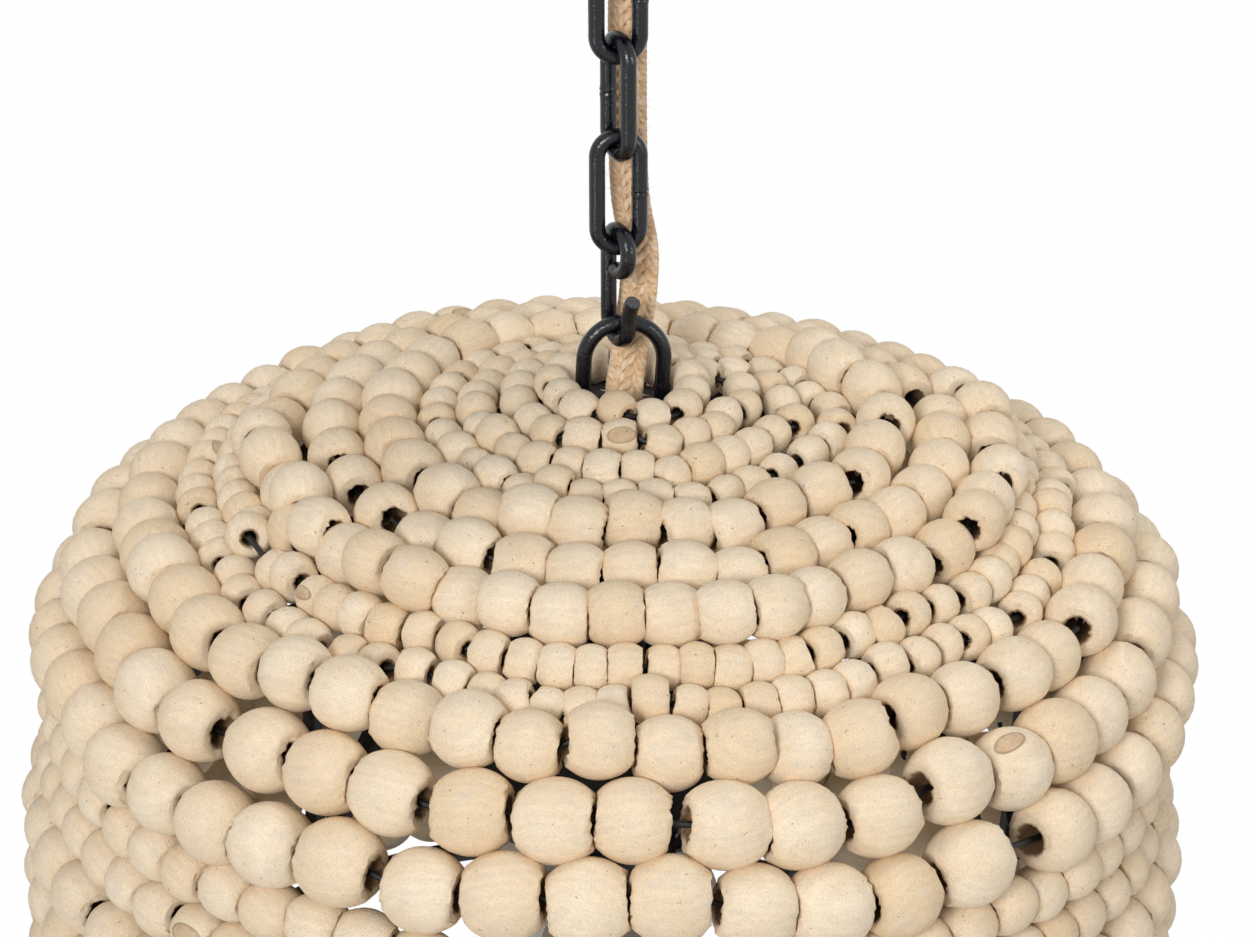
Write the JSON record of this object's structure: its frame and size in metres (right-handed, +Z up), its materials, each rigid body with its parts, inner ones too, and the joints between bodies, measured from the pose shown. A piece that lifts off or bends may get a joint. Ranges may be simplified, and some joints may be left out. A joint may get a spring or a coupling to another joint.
{
  "type": "beaded chandelier",
  "caption": "Domed wooden-bead chandelier on a black iron rib frame, hung by a short oval-link chain from a ceiling canopy, with a jute-covered cord and a lamp cluster inside.",
  "frame": {"origin": "on the ceiling, in the middle of the crossbar's top face", "axes": "+Z up, +X to the viewer's right, -Y towards the viewer"},
  "size_m": [0.3798, 0.3784, 0.4961],
  "materials": {
    "wood": "unfinished pale wood, matt, fine grain",
    "black_iron": "semi-gloss black enamel",
    "charcoal_iron": "matt charcoal powder coat",
    "zinc_steel": "zinc-plated steel",
    "jute": "natural jute braid",
    "black_plastic": "satin black phenolic",
    "frosted_glass": "frosted white glass"
  },
  "bodies": {
    "ceiling_fitting": {"ceiling_crossbar": "zinc_steel", "canopy_dish": "black_iron", "threaded_nipple": "zinc_steel", "hang_loop": "black_iron", "cord_bushing": "black_plastic", "wire_connector_1": "black_plastic", "wire_connector_2": "black_plastic"},
    "collar_nut": {"collar_nut": "black_iron"},
    "link_1": {"chain_link_1": "black_iron"},
    "link_2": {"chain_link_2": "black_iron"},
    "link_3": {"chain_link_3": "black_iron"},
    "link_4": {"chain_link_4": "black_iron"},
    "hook": {"opened_hook_link": "black_iron"},
    "shade": {"crown_loop": "black_iron", "crown_hub": "charcoal_iron", "middle_hoop": "charcoal_iron", "bottom_hoop": "charcoal_iron", "lamp_stem": "charcoal_iron", "stem_top_nut": "zinc_steel", "stem_lower_nut": "zinc_steel", "lamp_bell": "charcoal_iron", "socket_plate": "charcoal_iron", "lamp_socket_1": "black_plastic", "lamp_socket_2": "black_plastic", "lamp_socket_3": "black_plastic", "jute_cord": "jute", "frame_rib_01": "charcoal_iron", "frame_rib_02": "charcoal_iron", "frame_rib_03": "charcoal_iron", "frame_rib_04": "charcoal_iron", "frame_rib_05": "charcoal_iron", "frame_rib_06": "charcoal_iron", "frame_rib_07": "charcoal_iron", "frame_rib_08": "charcoal_iron", "frame_rib_09": "charcoal_iron", "frame_rib_10": "charcoal_iron", "bead_row_01": "wood", "bead_row_02": "wood", "bead_row_03": "wood", "bead_row_04": "wood", "bead_row_05": "wood", "bead_row_06": "wood", "bead_row_07": "wood", "bead_row_08": "wood", "bead_row_09": "wood", "bead_row_10": "wood", "bead_row_11": "wood", "bead_row_12": "wood", "bead_row_13": "wood", "bead_row_14": "wood", "bead_row_15": "wood", "bead_row_16": "wood", "bead_row_17": "wood", "bead_row_18": "wood", "bead_row_19": "wood", "bead_row_20": "wood"},
    "bulb_1": {"bulb_1": "frosted_glass"},
    "bulb_2": {"bulb_2": "frosted_glass"},
    "bulb_3": {"bulb_3": "frosted_glass"}
  },
  "joints": [
    {"name": "collar_nut_turn", "type": "hinge", "parent": "ceiling_fitting", "child": "collar_nut", "pos_m": [0, 0, -0.0288], "axis": [0, 0, 1], "continuous": true},
    {"name": "link_1_swing", "type": "hinge", "parent": "ceiling_fitting", "child": "link_1", "pos_m": [0, 0, -0.0591], "axis": [0.9903, 0.1392, 0], "range_deg": [-15, 15], "deforming": ["jute_cord"]},
    {"name": "link_2_swing", "type": "hinge", "parent": "link_1", "child": "link_2", "pos_m": [0, 0, -0.089], "axis": [-0.4695, 0.8829, 0], "range_deg": [-15, 15], "deforming": ["jute_cord"]},
    {"name": "link_3_swing", "type": "hinge", "parent": "link_2", "child": "link_3", "pos_m": [0, 0, -0.1189], "axis": [0.9903, 0.1392, 0], "range_deg": [-15, 15], "deforming": ["jute_cord"]},
    {"name": "link_4_swing", "type": "hinge", "parent": "link_3", "child": "link_4", "pos_m": [0, 0, -0.1488], "axis": [-0.4695, 0.8829, 0], "range_deg": [-15, 15], "deforming": ["jute_cord"]},
    {"name": "hook_swing", "type": "hinge", "parent": "link_4", "child": "hook", "pos_m": [0, 0, -0.1787], "axis": [0.9903, 0.1392, 0], "range_deg": [-15, 15], "deforming": ["jute_cord"]},
    {"name": "shade_swing", "type": "hinge", "parent": "hook", "child": "shade", "pos_m": [0, 0, -0.2086], "axis": [-0.4695, 0.8829, 0], "range_deg": [-15, 15], "deforming": ["jute_cord"]},
    {"name": "bulb_1_turn", "type": "hinge", "parent": "shade", "child": "bulb_1", "pos_m": [-0.00541, -0.025, -0.37824], "axis": [0.0436, 0, 0.999], "continuous": true},
    {"name": "bulb_2_turn", "type": "hinge", "parent": "shade", "child": "bulb_2", "pos_m": [0.01622, 0.0125, -0.37918], "axis": [0.0436, 0, 0.999], "continuous": true},
    {"name": "bulb_3_turn", "type": "hinge", "parent": "shade", "child": "bulb_3", "pos_m": [-0.02704, 0.0125, -0.37729], "axis": [0.0436, 0, 0.999], "continuous": true}
  ]
}
